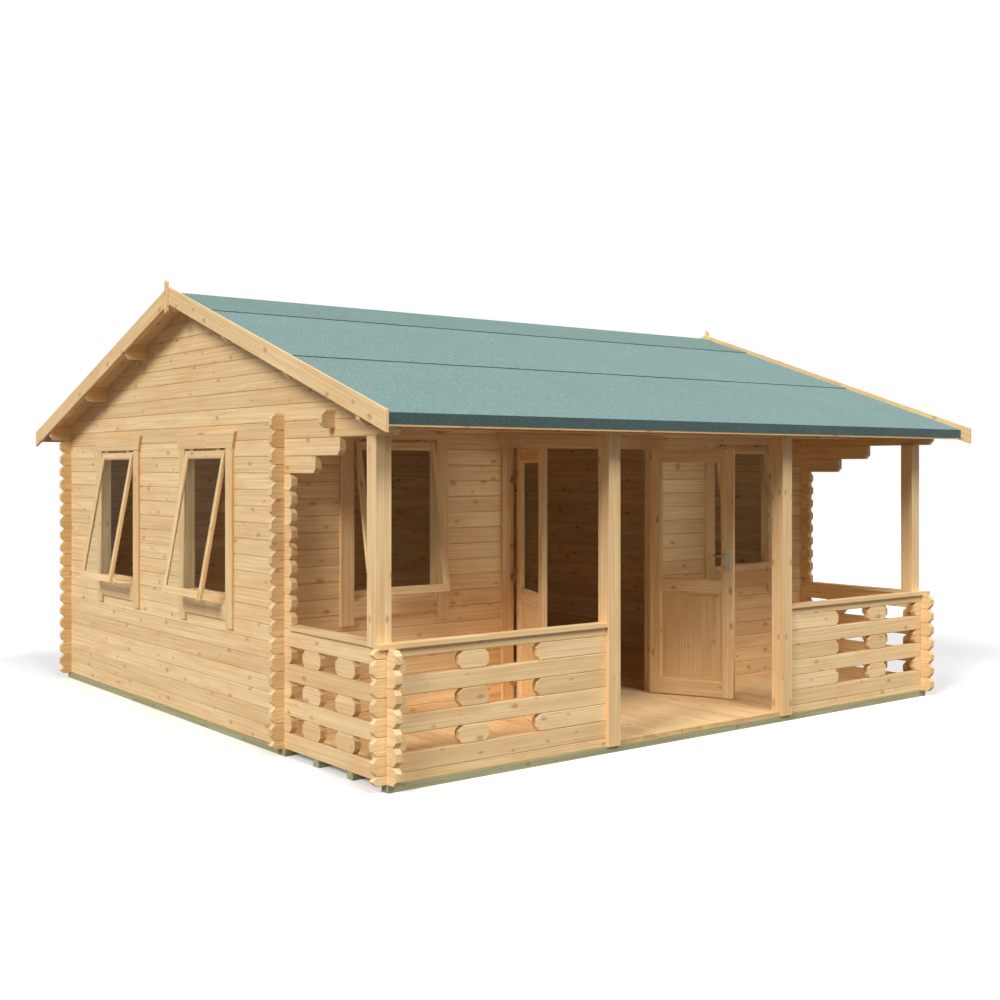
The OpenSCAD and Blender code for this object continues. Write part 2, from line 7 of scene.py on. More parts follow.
# %% Load the frame
import bpy
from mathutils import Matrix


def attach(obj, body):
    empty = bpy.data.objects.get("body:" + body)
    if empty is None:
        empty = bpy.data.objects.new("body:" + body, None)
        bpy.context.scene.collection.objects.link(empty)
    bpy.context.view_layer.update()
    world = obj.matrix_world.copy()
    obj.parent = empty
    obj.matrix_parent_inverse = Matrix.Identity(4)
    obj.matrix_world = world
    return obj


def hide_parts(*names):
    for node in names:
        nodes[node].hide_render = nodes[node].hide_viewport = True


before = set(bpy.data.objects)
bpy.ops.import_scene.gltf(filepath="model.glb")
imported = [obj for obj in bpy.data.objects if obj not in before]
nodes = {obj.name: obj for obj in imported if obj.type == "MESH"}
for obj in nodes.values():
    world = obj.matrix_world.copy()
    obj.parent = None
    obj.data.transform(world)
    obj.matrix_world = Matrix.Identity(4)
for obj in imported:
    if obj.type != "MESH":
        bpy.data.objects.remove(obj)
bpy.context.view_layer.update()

import bpy, bmesh, math, random
from mathutils import Matrix, Vector, noise

HALF = 2.665      # from the middle to the outer face of a side wall
FRONT_Y = -1.415  # outer face of the front wall, behind the veranda
COURSE = 0.114    # height that one log covers
BEARER = 0.045    # the first course lies on bearers this high

# %% [markdown]
# ## Camera
# A photographer stood at the corner of the veranda with the lens at eye height. A level camera keeps the
# posts upright, and a small vertical shift frames the cabin without tilting it.

# %% Place the camera
lens = bpy.data.cameras.new("corner_camera")
lens.sensor_width = 36
lens.lens = 46.5435
lens.shift_y = -0.03227
camera = bpy.data.objects.new("corner_camera", lens)
camera.location = (-6.7751, -9.0636, 1.9072)
camera.rotation_euler = (math.radians(90), 0, math.radians(-37.7147))
bpy.context.collection.objects.link(camera)
bpy.context.scene.camera = camera
bpy.context.scene.view_settings.view_transform = "Standard"
print("camera", tuple(camera.location), "lens", lens.lens)

# %% [markdown]
# ## Two helpers for every finish
# Colours are easier to judge as the hex values of a picture, but shaders work with linear light, so one
# function turns one into the other. A second one adds a shader node with its settings and links, which
# keeps each finish short enough to read as a recipe.

# %% Colour and node helpers
def srgb(code):
    values = [int(code[i:i + 2], 16) / 255 for i in (1, 3, 5)]
    return [v / 12.92 if v <= 0.04045 else ((v + 0.055) / 1.055) ** 2.4 for v in values] + [1]


def add(tree, kind, settings={}, links={}):
    node = tree.nodes.new(kind)
    for key, value in settings.items():
        setattr(node, key, value)
    for key, value in links.items():
        if isinstance(value, bpy.types.NodeSocket):
            tree.links.new(value, node.inputs[key])
        else:
            node.inputs[key].default_value = value
    return node


print("mid grey in linear light:", round(srgb("#808080")[0], 3))

# %% [markdown]
# ## Planed spruce
# Spruce planed at the mill is pale straw with slightly darker late wood and small brown knots. The growth
# rings are 2 to 4 mm apart, less than a pixel at this distance, so they are drawn as bands about 15 mm
# wide and a metre long. Knots are up to 20 mm across the grain and longer along it, one in most patches
# of 150 mm. A log is shaded from its place in the cabin: the grain follows one direction, and each course
# of logs is shifted and toned a little by its own random number, because no two logs come from the same
# tree. Resin leaves warmer patches, a few hundred millimetres long, that keep a log from looking like
# plastic. Where two courses meet, a thin dark line is painted shade in the tongued joint, with some dust
# in it, and a face sawn across the grain is a little darker. Boards built in this script carry a UV map in
# metres instead, with its first axis along the grain.

# %% Spruce
FIRST_JOINT = 0.3947  # in courses: the first log starts on top of the bearers
KNOT_PATCH = 0.15


def spruce(name, light, dark, warm, knot, along=None, across=None, course=None):
    material = bpy.data.materials.new(name)
    material.use_nodes = True
    tree = material.node_tree
    shader = tree.nodes["Principled BSDF"]
    if along is None:
        flat = add(tree, "ShaderNodeUVMap", {"uv_map": "grain"}).outputs["UV"]
        tone = add(tree, "ShaderNodeUVMap", {"uv_map": "tone"}).outputs["UV"]
        tone = add(tree, "ShaderNodeSeparateXYZ", {}, {0: tone}).outputs[0]
    else:
        place = add(tree, "ShaderNodeTexCoord").outputs["Object"]
        u = add(tree, "ShaderNodeVectorMath", {"operation": "DOT_PRODUCT"}, {0: place, 1: along})
        v = add(tree, "ShaderNodeVectorMath", {"operation": "DOT_PRODUCT"}, {0: place, 1: across})
        row = add(tree, "ShaderNodeVectorMath", {"operation": "DOT_PRODUCT"},
                  {0: place, 1: (0, 0, 1 / COURSE) if course is not None else (0.9, 0.7, 0)})
        row = add(tree, "ShaderNodeMath", {"operation": "ADD"},
                  {0: row.outputs["Value"], 1: -FIRST_JOINT + (course or 0)})
        height = row.outputs[0]
        row = add(tree, "ShaderNodeMath", {"operation": "FLOOR"}, {0: height})
        tone = add(tree, "ShaderNodeTexWhiteNoise", {"noise_dimensions": "1D"}, {"W": row.outputs[0]})
        tone = tone.outputs["Value"]
        shift = add(tree, "ShaderNodeMath", {"operation": "MULTIPLY_ADD"},
                    {0: tone, 1: 9.0, 2: u.outputs["Value"]})
        flat = add(tree, "ShaderNodeCombineXYZ", {}, {0: shift.outputs[0], 1: v.outputs["Value"]}).outputs[0]

    long_grain = add(tree, "ShaderNodeVectorMath", {"operation": "MULTIPLY"}, {0: flat, 1: (1.1, 66, 0)})
    rings = add(tree, "ShaderNodeTexNoise", {"noise_dimensions": "2D"},
                {"Vector": long_grain.outputs[0], "Scale": 1.0, "Detail": 3.0, "Roughness": 0.6,
                 "Distortion": 0.3})
    ramp = add(tree, "ShaderNodeMapRange", {}, {0: rings.outputs[0], 1: 0.34, 2: 0.68})
    grain = add(tree, "ShaderNodeMix", {"data_type": "RGBA"},
                {"Factor": ramp.outputs[0], "A": srgb(dark), "B": srgb(light)})

    level = add(tree, "ShaderNodeMix", {"data_type": "RGBA"},
                {"Factor": tone, "A": (0.91, 0.87, 0.82, 1), "B": (1.05, 1.05, 1.05, 1)})
    toned = add(tree, "ShaderNodeMix", {"data_type": "RGBA", "blend_type": "MULTIPLY"},
                {"Factor": 1.0, "A": grain.outputs["Result"], "B": level.outputs["Result"]})
    drift = add(tree, "ShaderNodeVectorMath", {"operation": "MULTIPLY"}, {0: flat, 1: (2.2, 9, 0)})
    cloud = add(tree, "ShaderNodeTexNoise", {"noise_dimensions": "2D"},
                {"Vector": drift.outputs[0], "Scale": 1.0, "Detail": 2.0})
    flush = add(tree, "ShaderNodeMapRange", {}, {0: cloud.outputs[0], 1: 0.5, 2: 0.75, 3: 0.0, 4: 0.4})
    toned = add(tree, "ShaderNodeMix", {"data_type": "RGBA"},
                {"Factor": flush.outputs[0], "A": toned.outputs["Result"], "B": srgb(warm)})

    drawn = add(tree, "ShaderNodeVectorMath", {"operation": "MULTIPLY"}, {0: flat, 1: (0.55, 1, 0)})
    cell = add(tree, "ShaderNodeTexVoronoi", {"voronoi_dimensions": "2D"},
               {"Vector": drawn.outputs[0], "Scale": 1 / KNOT_PATCH})
    chance = add(tree, "ShaderNodeSeparateColor", {}, {0: cell.outputs["Color"]})
    size = add(tree, "ShaderNodeMapRange", {}, {0: chance.outputs[0], 1: 0.05, 2: 1.0, 3: 0.0, 4: 0.14})
    core = add(tree, "ShaderNodeMath", {"operation": "SUBTRACT"},
               {0: cell.outputs["Distance"], 1: size.outputs[0]})
    spot = add(tree, "ShaderNodeMapRange", {"interpolation_type": "SMOOTHSTEP"},
               {0: core.outputs[0], 1: -0.09, 2: 0.03, 3: 0.56, 4: 0.0})
    knotted = add(tree, "ShaderNodeMix", {"data_type": "RGBA"},
                  {"Factor": spot.outputs[0], "A": toned.outputs["Result"], "B": srgb(knot)})
    colour = knotted.outputs["Result"]

    # painted shade, with some dust, as a thin dark line along each joint between courses
    if course is not None:
        joint = add(tree, "ShaderNodeMath", {"operation": "PINGPONG"}, {0: height, 1: 0.5})
        shade = add(tree, "ShaderNodeMapRange", {"interpolation_type": "SMOOTHSTEP"},
                    {0: joint.outputs[0], 1: 0.01, 2: 0.035, 3: 0.32, 4: 0.0})
        lined = add(tree, "ShaderNodeMix", {"data_type": "RGBA"},
                    {"Factor": shade.outputs[0], "A": colour, "B": srgb("#8A5A2C")})
        colour = lined.outputs["Result"]
    if along is not None:
        normal = add(tree, "ShaderNodeTexCoord").outputs["Normal"]
        facing = add(tree, "ShaderNodeVectorMath", {"operation": "DOT_PRODUCT"}, {0: normal, 1: along})
        facing = add(tree, "ShaderNodeMath", {"operation": "ABSOLUTE"}, {0: facing.outputs["Value"]})
        is_end = add(tree, "ShaderNodeMapRange", {}, {0: facing.outputs[0], 1: 0.75, 2: 0.95})
        ends = add(tree, "ShaderNodeMix", {"data_type": "RGBA", "blend_type": "MULTIPLY"},
                   {"Factor": is_end.outputs[0], "A": colour, "B": (0.97, 0.94, 0.89, 1)})
        colour = ends.outputs["Result"]

    tree.links.new(colour, shader.inputs["Base Color"])
    sheen = add(tree, "ShaderNodeMapRange", {}, {0: rings.outputs[0], 3: 0.7, 4: 0.52})
    tree.links.new(sheen.outputs[0], shader.inputs["Roughness"])
    bump = add(tree, "ShaderNodeBump", {},
               {"Height": rings.outputs[0], "Strength": 0.05, "Distance": 0.002})
    tree.links.new(bump.outputs[0], shader.inputs["Normal"])
    shader.inputs["IOR"].default_value = 1.45
    return material


WOOD = ("#F8DAA8", "#E8C28B", "#E2AC74", "#AC6E36")
pitch = math.radians(18.8)
rise, run = math.sin(pitch), math.cos(pitch)
log_along_y = spruce("planed spruce log along y", *WOOD, (0, 1, 0), (0.8, 0, 1), 0)
log_along_x = spruce("planed spruce log along x", *WOOD, (1, 0, 0), (0, 0.8, 1), 0.5)
board_x = spruce("planed spruce board along x", *WOOD, (1, 0, 0), (0, 1, 1))
level_trim = spruce("planed spruce level trim", *WOOD, (0.5, 0.5, 0), (0, 0, 1))
board_z = spruce("planed spruce upright", *WOOD, (0, 0, 1), (1, 1, 0))
front_slope = spruce("planed spruce along the front slope", *WOOD, (0, run, rise), (1, -rise, run))
back_slope = spruce("planed spruce along the back slope", *WOOD, (0, run, -rise), (1, rise, run))
board_uv = spruce("planed spruce board", *WOOD)
print("spruce finishes:", len([m for m in bpy.data.materials if "spruce" in m.name]))

# %% [markdown]
# ## Mineral roofing felt
# Bitumen felt is rolled with crushed slate, here a sea green, that gives a dull, sparkling-rough surface.
# The grit is about 1.5 mm, too fine to show from ten metres, so it is drawn as 9 mm specks over broad
# cloudy patches. The felt that folds down over the eave, and the cut ends of the strips, take a darker
# felt. The upper strip's edge at each lap is darker as well: bitumen come through, with painted shade of
# the step.

# %% Felt
def mineral_felt(name, light, dark, speck):
    material = bpy.data.materials.new(name)
    material.use_nodes = True
    tree = material.node_tree
    shader = tree.nodes["Principled BSDF"]
    place = add(tree, "ShaderNodeTexCoord").outputs["Object"]
    grit = add(tree, "ShaderNodeTexNoise", {},
               {"Vector": place, "Scale": 1 / 0.009, "Detail": 2.0, "Roughness": 0.7})
    cloud = add(tree, "ShaderNodeTexNoise", {}, {"Vector": place, "Scale": 1 / 0.6, "Detail": 3.0})
    patch = add(tree, "ShaderNodeMapRange", {}, {0: cloud.outputs[0], 1: 0.3, 2: 0.7})
    base = add(tree, "ShaderNodeMix", {"data_type": "RGBA"},
               {"Factor": patch.outputs[0], "A": srgb(dark), "B": srgb(light)})
    dots = add(tree, "ShaderNodeMapRange", {}, {0: grit.outputs[0], 1: 0.5, 2: 0.7, 3: 0.0, 4: 0.85})
    mixed = add(tree, "ShaderNodeMix", {"data_type": "RGBA"},
                {"Factor": dots.outputs[0], "A": base.outputs["Result"], "B": srgb(speck)})
    bump = add(tree, "ShaderNodeBump", {}, {"Height": grit.outputs[0], "Strength": 0.35, "Distance": 0.002})
    tree.links.new(mixed.outputs["Result"], shader.inputs["Base Color"])
    tree.links.new(bump.outputs[0], shader.inputs["Normal"])
    shader.inputs["Roughness"].default_value = 0.92
    return material


felt_green = mineral_felt("mineral felt, sea green", "#6F8B88", "#6A8582", "#A6BEBA")
# a darker felt for the fold over the eave and the cut ends of the strips
felt_edge = mineral_felt("mineral felt, worn fold", "#425755", "#384B49", "#5F7775")
# the lap's edge: bitumen with painted shade of the step
felt_lap_bitumen_and_shade = mineral_felt("mineral felt, lapped edge", "#58716F", "#4C6462", "#7C9593")
felt_cap = mineral_felt("mineral felt, ridge cap", "#69847F", "#637D79", "#9DB5B0")
print("felt finishes:", felt_green.name, felt_edge.name, felt_lap_bitumen_and_shade.name, felt_cap.name)

# %% [markdown]
# ## Treated bearers, glass and steel
# The bearers under the floor are pressure treated, which turns the wood greenish grey. The panes are
# plain float glass, clear with a faint green cast. Its index is 1.52, but in a white studio that veils the
# dark room behind the panes, so 1.04 gives the weak reflections seen on the cabin. The lever is satin
# steel with a warm nickel coat: a metal with fine brush lines that blur its reflections. The hinges are
# brown lacquered, which leaves only a soft gloss.

# %% Bearer, glass and steel
TREATED = ("#B9B58F", "#9C9A74", "#A59A70", "#6F6A48")
treated_x = spruce("pressure treated spruce along x", *TREATED, (1, 0, 0), (0, 1, 1))
treated_y = spruce("pressure treated spruce along y", *TREATED, (0, 1, 0), (1, 0, 1))

float_glass = bpy.data.materials.new("float glass")
float_glass.use_nodes = True
shader = float_glass.node_tree.nodes["Principled BSDF"]
shader.inputs["Base Color"].default_value = srgb("#F4F8F6")
shader.inputs["IOR"].default_value = 1.04
shader.inputs["Transmission Weight"].default_value = 1.0
ripple = add(float_glass.node_tree, "ShaderNodeTexNoise", {}, {"Scale": 1 / 0.3})
smear = add(float_glass.node_tree, "ShaderNodeMapRange", {}, {0: ripple.outputs[0], 3: 0.0, 4: 0.05})
float_glass.node_tree.links.new(smear.outputs[0], shader.inputs["Roughness"])

satin_steel = bpy.data.materials.new("satin steel")
satin_steel.use_nodes = True
tree = satin_steel.node_tree
shader = tree.nodes["Principled BSDF"]
shader.inputs["Metallic"].default_value = 1.0
place = add(tree, "ShaderNodeTexCoord").outputs["Object"]
drawn = add(tree, "ShaderNodeVectorMath", {"operation": "MULTIPLY"}, {0: place, 1: (900, 900, 25)})
lines = add(tree, "ShaderNodeTexNoise", {}, {"Vector": drawn.outputs[0], "Scale": 1.0, "Detail": 1.0})
blur = add(tree, "ShaderNodeMapRange", {}, {0: lines.outputs[0], 3: 0.26, 4: 0.42})
shade = add(tree, "ShaderNodeMix", {"data_type": "RGBA"},
            {"Factor": lines.outputs[0], "A": srgb("#8F8874"), "B": srgb("#A59D88")})
tree.links.new(blur.outputs[0], shader.inputs["Roughness"])
tree.links.new(shade.outputs["Result"], shader.inputs["Base Color"])

lacquer = bpy.data.materials.new("brown lacquered steel")
lacquer.use_nodes = True
tree = lacquer.node_tree
shader = tree.nodes["Principled BSDF"]
place = add(tree, "ShaderNodeTexCoord").outputs["Object"]
peel = add(tree, "ShaderNodeTexNoise", {}, {"Vector": place, "Scale": 1 / 0.012, "Detail": 2.0})
shade = add(tree, "ShaderNodeMix", {"data_type": "RGBA"},
            {"Factor": peel.outputs[0], "A": srgb("#A07C50"), "B": srgb("#B48F61")})
tree.links.new(shade.outputs["Result"], shader.inputs["Base Color"])
shader.inputs["Roughness"].default_value = 0.4
shader.inputs["IOR"].default_value = 1.5
print("finishes so far:", len(bpy.data.materials))

# %% [markdown]
# ## Dress the solids
# Logs, posts, rails and trim already have their real shape, so they stay. They only get a finish whose
# grain follows each stick of wood, and a small bevel that stands for edges eased by the plane: without
# it the edges catch no light and look cut from paper.

# %% Finish and soften the solids
FINISH = {
    treated_x: ["cross_bearers"],
    treated_y: ["side_bearers"],
    log_along_y: ["left_wall_low", "left_wall_piers", "corbel_logs", "left_gable", "right_wall",
                  "right_gable", "side_rail_logs", "side_rail_blocks"],
    log_along_x: ["back_wall", "front_wall_low", "front_wall_piers", "front_wall_top",
                  "front_rail_logs", "front_rail_blocks"],
    board_x: ["eave_logs", "roof_purlins", "fascia_boards", "cabin_floor", "veranda_deck"],
    level_trim: ["handrails", "frame_heads", "casing_heads"],
    board_z: ["veranda_posts", "frame_jambs", "casing_sides", "window_sashes", "left_door_leaf",
              "right_door_leaf", "finials"],
    front_slope: ["barge_front", "roof_boards_front"],
    back_slope: ["barge_back", "roof_boards_back"],
    felt_green: ["felt_front", "felt_back"],
    float_glass: ["window_glass", "left_door_glass", "right_door_glass"],
    satin_steel: ["door_handle"],
    lacquer: ["frame_hinges", "left_door_hinges", "right_door_hinges", "sash_hinges"],
}
for finish, names in FINISH.items():
    for name in names:
        nodes[name].data.materials.clear()
        nodes[name].data.materials.append(finish)
        if finish in (felt_green, float_glass):
            continue
        soft = nodes[name].modifiers.new("eased edges", "BEVEL")
        soft.width = 0.001 if finish in (satin_steel, lacquer) else 0.003
        soft.segments = 2
        soft.limit_method = "ANGLE"
        soft.angle_limit = math.radians(40)
        soft.use_clamp_overlap = True
print("dressed solids:", sum(len(names) for names in FINISH.values()))

# %% [markdown]
# ## Sticks of wood
# Nearly every part of the cabin is a stick with one section along its whole length, so one helper draws a
# section out along its own X axis. It also writes two UV maps in metres: one lays the grain along the
# stick with its own random start, the other gives the stick a tone of its own. Boards then differ as they
# do in a pack from the mill, although they share one finish. The sawn ends take a darker end grain.

# %% Section and stick helpers
end_grain = spruce("sawn spruce end grain", "#DFB984", "#CDA168", "#C9975F", "#94673C")
chance = random.Random(7)


def axes(origin, along, across):
    along, across = Vector(along), Vector(across)
    turn = Matrix((along, across, along.cross(across))).transposed().to_4x4()
    return Matrix.Translation(origin) @ turn


def eased(width, depth, ease=0.003):
    return [(ease, 0), (width - ease, 0), (width, ease), (width, depth - ease), (width - ease, depth),
            (ease, depth), (0, depth - ease), (0, ease)]


def start_piece():
    bm = bmesh.new()
    bm.loops.layers.uv.new("grain")
    bm.loops.layers.uv.new("tone")
    return bm


def face(bm, corners, uvs, shade, finish=0):
    made = bm.faces.new(corners)
    made.material_index = finish
    for loop, uv in zip(made.loops, uvs):
        loop[bm.loops.layers.uv["grain"]].uv = uv
        loop[bm.loops.layers.uv["tone"]].uv = (shade, 0)


# The last argument gives faces of the section another finish; the felt uses it for its darker fold, its cap and
# the painted shade on its laps.
def stick(bm, section, length, place, cuts=1, darkened={}):
    u0, v0, shade = chance.uniform(0, 30), chance.uniform(0, 9), chance.random()
    steps = [length * i / cuts for i in range(cuts + 1)]
    rings = [[bm.verts.new(place @ Vector((x, y, z))) for y, z in section] for x in steps]
    v = v0
    for j in range(len(section)):
        k = (j + 1) % len(section)
        wide = math.dist(section[j], section[k])
        for i in range(cuts):
            a, b = u0 + steps[i], u0 + steps[i + 1]
            face(bm, (rings[i][j], rings[i + 1][j], rings[i + 1][k], rings[i][k]),
                 ((a, v), (b, v), (b, v + wide), (a, v + wide)), shade, darkened.get(j, 0))
        v += wide
    for ring in (rings[0][::-1], rings[-1]):
        points = section[::-1] if ring[0] is rings[0][-1] else section
        face(bm, ring, [(u0 + y * 4, v0 + z * 0.4) for y, z in points], shade, 1)


def finish_piece(bm, name, body, finishes, stands_for=(), smooth=None):
    bmesh.ops.recalc_face_normals(bm, faces=bm.faces)
    mesh = bpy.data.meshes.new(name)
    bm.to_mesh(mesh)
    bm.free()
    for finish in finishes:
        mesh.materials.append(finish)
    piece = bpy.data.objects.new(name, mesh)
    bpy.context.collection.objects.link(piece)
    if smooth:
        mesh.shade_smooth()
        mesh.set_sharp_from_angle(angle=math.radians(smooth))
    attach(piece, body)
    if stands_for:
        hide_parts(*stands_for)
    print(name, "faces", len(mesh.polygons))


print("eased section of a 60 x 40 mm bar:", eased(0.06, 0.04))

# %% [markdown]
# ## Deck and floor boards
# The veranda has planed boards on its bearers, laid from the wall to the front rail, and the room has the
# same boards under its own roof. A texture could fake the gaps, but real boards with eased edges let
# light fall between them. Two boards are cut short round the entry posts, so the board widths start from
# the posts.

# %% Lay the boards
DECK_TOP, BOARD = 0.073, 0.028
INNER = 2.62                          # inner face of the walls and rails
POST_IN, POST_OUT = 0.8245, 0.9375    # sides of an entry post
POST_BACK = -2.586
BEARERS_Y, EDGE_Y = (-2.248, -1.832), -2.6425
SCREW_IN = 0.024                      # from a board's edge to its screws
deck = start_piece()
screw_spots = []
bays = [(-INNER, -POST_OUT, 15, -INNER), (-POST_OUT, -POST_IN, 1, POST_BACK), (-POST_IN, POST_IN, 14, -HALF),
        (POST_IN, POST_OUT, 1, POST_BACK), (POST_OUT, INNER, 15, -INNER)]
for x0, x1, count, y0 in bays:
    for i in range(count):
        a = x0 + (x1 - x0) * i / count + 0.001
        b = x0 + (x1 - x0) * (i + 1) / count - 0.001
        stick(deck, eased(b - a, BOARD, 0.0035), -1.4155 - y0,
              axes((b, y0, DECK_TOP - BOARD), (0, 1, 0), (-1, 0, 0)))
        screw_spots += [(x, y) for y in BEARERS_Y for x in (a + SCREW_IN, b - SCREW_IN)]
        if y0 == -HALF:
            screw_spots += [(a + SCREW_IN, EDGE_Y), (b - SCREW_IN, EDGE_Y)]
finish_piece(deck, "deck_boards", "cabin", [board_uv, end_grain], ["veranda_deck"])

ROOM_BOARDS, ROOM_DEEP, ROOM_Y = 46, 3.99, -1.37
room = start_piece()
for i in range(ROOM_BOARDS):
    a = -INNER + 2 * INNER * i / ROOM_BOARDS + 0.0005
    b = -INNER + 2 * INNER * (i + 1) / ROOM_BOARDS - 0.0005
    stick(room, eased(b - a, BOARD, 0.002), ROOM_DEEP,
          axes((b, ROOM_Y, DECK_TOP - BOARD), (0, 1, 0), (-1, 0, 0)))
finish_piece(room, "room_floor_boards", "cabin", [board_uv, end_grain], ["cabin_floor"])

# %% [markdown]
# ## Deck screws
# Each deck board is held by two countersunk screws on every bearer. A head is a shallow dish with a
# socket in its middle. Turning a short profile round its axis makes one, and it is set a hair under the
# wood as a carpenter would leave it.

# %% Drive the screws
def joined(bm, loops):
    for low, high in zip(loops, loops[1:]):
        for i in range(len(low)):
            j = (i + 1) % len(low)
            face(bm, (low[i], low[j], high[j], high[i]), ((0, 0),) * 4, 0.5)
    face(bm, loops[-1], ((0, 0),) * len(loops[-1]), 0.5)


def turned(bm, rings, place, sides):
    turns = [2 * math.pi * i / sides for i in range(sides)]
    joined(bm, [[bm.verts.new(place @ Vector((r * math.cos(t), r * math.sin(t), h))) for t in turns]
                for r, h in rings])


SCREW = [(0.0045, -0.001), (0.0043, 0.0003), (0.0022, 0.0003), (0.0016, -0.0012)]
screws = start_piece()
for x, y in screw_spots:
    turned(screws, SCREW, Matrix.Translation((x, y, DECK_TOP)), 10)
finish_piece(screws, "deck_screws", "cabin", [satin_steel], smooth=40)

# %% [markdown]
# ## Roof boards
# Matchboards run down both slopes and show from below, over the veranda and past the gables, as narrow
# strips with a V between them. A 100 mm face is common, so each slope takes 57 of them. The back slope is
# the front one mirrored about the ridge.

# %% Board the roof
ROOF_X, RIDGE_Z = 2.851, BEARER + 19.58 * COURSE + HALF * math.tan(pitch)
BOARDED = 2.871       # from the ridge to the boards' lower end, on the level
LATHS, LATH_T = 57, 0.019
LATH = ROOF_X * 2 / LATHS
matched = [(0.004, 0), (LATH - 0.0045, 0), (LATH - 0.0005, 0.004), (LATH - 0.0005, LATH_T), (0.0005, LATH_T),
           (0.0005, 0.004)]
for side, mirror, node in (("front", 1, "roof_boards_front"), ("back", -1, "roof_boards_back")):
    planks = start_piece()
    for i in range(LATHS):
        eave = (ROOF_X - LATH * i, -BOARDED, RIDGE_Z - BOARDED * rise / run)
        stick(planks, matched, BOARDED / run,
              Matrix.Scale(mirror, 4, (0, 1, 0)) @ axes(eave, (0, run, rise), (-1, 0, 0)))
    finish_piece(planks, "roof_boards_" + side + "_matched", "cabin",
                 [board_uv, end_grain], [node])

# %% [markdown]
# ## Felt in strips
# Felt comes off a roll about a metre wide, so a slope carries a strip at the eave, one above it and a cap
# over the ridge. Each laps the one below and is bonded with bitumen; the dark line on each lap's edge is
# that bitumen together with painted shade of the step. The strips are drawn as sections across the slope,
# cut into short lengths, and lifted by up to 3 mm of smooth noise, because felt never lies quite flat.

# %% Roll out the felt
FELT, LAP, STEP = 0.004, 0.1, 0.0065


def lapped(top, low):
    return [(top, 0), (low + LAP + 0.02, 0), (low + LAP, STEP - 0.002), (low, STEP - 0.002), (low, STEP + FELT),
            (low + LAP, STEP + FELT), (low + LAP + 0.03, FELT), (top + 0.0013 * (top == 0), FELT)]


edge, fold = -(BOARDED + 0.016) / run, 0.065
drip = edge - rise * fold
eave_strip = [(-1.73, 0), (edge, 0), (drip, -run * fold), (drip - run * FELT, rise * FELT - run * fold),
              (edge - 0.0048, -0.0015), (edge - 0.0033, 0.0025), (edge, FELT), (-1.73, FELT)]
# the eave strip's fold faces take the darker felt, each lap's edge face the bitumen with painted shade, the top
# faces the cap
strips = [(eave_strip, {2: 1, 3: 1, 4: 1}), (lapped(-0.475, -1.83), {3: 2}),
          (lapped(0, -0.575), {3: 2, 4: 3, 5: 3, 6: 3})]
FELT_CUTS = 72
for side, mirror, node in (("front", 1, "felt_front"), ("back", -1, "felt_back")):
    felt = start_piece()
    place = axes((-ROOF_X, 0, RIDGE_Z + LATH_T / run), (1, 0, 0), (0, run, rise))
    place = Matrix.Scale(mirror, 4, (0, 1, 0)) @ place
    for section, darkened in strips:
        stick(felt, section, ROOF_X * 2, place, FELT_CUTS, darkened)
    up = Vector((0, -rise * mirror, run))
    for vert in felt.verts:
        if 0.02 < abs(vert.co.y) < BOARDED:
            vert.co += up * 0.0015 * (1 + noise.noise(vert.co * 2.3))
    finish_piece(felt, "felt_strips_" + side, "cabin",
                 [felt_green, felt_edge, felt_lap_bitumen_and_shade, felt_cap], [node])

# %% [markdown]
# ## Glazed joinery
# A sash and a door leaf are made alike: two stiles the full height, rails between them, and beads that
# hold the pane. The beads meet in mitres at the corners, so they are drawn as a section carried round a
# rectangle, which gives the mitres for nothing. The door's lower part has a raised panel, drawn the same
# way and closed in the middle.

# %% Stiles, rails, beads and panels
def carried_round(bm, box, section, place, filled=False):
    x0, z0, x1, z1 = box
    u0, shade = chance.uniform(0, 30), chance.random()
    rings = []
    for inward, out in section:
        spots = ((x0 + inward, z0 + inward), (x1 - inward, z0 + inward),
                 (x1 - inward, z1 - inward), (x0 + inward, z1 - inward))
        rings.append([bm.verts.new(place @ Vector((x, out, z))) for x, z in spots])
    pairs = list(zip(rings, rings[1:])) if filled else list(zip(rings, rings[1:] + rings[:1]))
    for step, (low, high) in enumerate(pairs):
        for i in range(4):
            j = (i + 1) % 4
            long = (x1 - x0) if i % 2 == 0 else (z1 - z0)
            v = step * 0.01 + i * 0.3
            face(bm, (low[i], low[j], high[j], high[i]),
                 ((u0, v), (u0 + long, v), (u0 + long, v + 0.01), (u0, v + 0.01)), shade)
    if filled:
        wide = x1 - x0 - 2 * section[-1][0]
        face(bm, rings[-1], ((u0, 0), (u0, wide), (u0 + z1 - z0, wide), (u0 + z1 - z0, 0)), shade)


def joinery(bm, place, width, height, deep, stile, rails, panes, panels=(), bead=0.013):
    for x in (0, width - stile):
        stick(bm, eased(stile, deep), height, place @ axes((x, 0, 0), (0, 0, 1), (1, 0, 0)))
    for z0, z1 in rails:
        stick(bm, eased(z1 - z0, deep), width - 2 * stile,
              place @ axes((stile, deep, z0), (1, 0, 0), (0, 0, 1)))
    low, high = deep / 2 + 0.0034, deep - 0.004
    beading = [(bead * a, low + (high - low) * b)
               for a, b in ((0, 0), (1, 0), (1, 0.3), (0.85, 0.6), (0.45, 0.9), (0.15, 1), (0, 1))]
    field = [(0, deep - 0.013), (0.012, deep - 0.013), (0.014, deep - 0.0125), (0.045, deep - 0.0095),
             (0.047, deep - 0.0085)]
    moulding = [(0, deep - 0.013), (0.011, deep - 0.013), (0.010, deep - 0.009), (0.006, deep - 0.005),
                (0, deep - 0.003)]
    for face_of in (Matrix(), Matrix.Translation((0, deep, 0)) @ Matrix.Scale(-1, 4, (0, 1, 0))):
        for z0, z1 in panes:
            carried_round(bm, (stile, z0, width - stile, z1), beading, place @ face_of)
        for z0, z1 in panels:
            carried_round(bm, (stile, z0, width - stile, z1), field, place @ face_of, True)
            carried_round(bm, (stile, z0, width - stile, z1), moulding, place @ face_of)


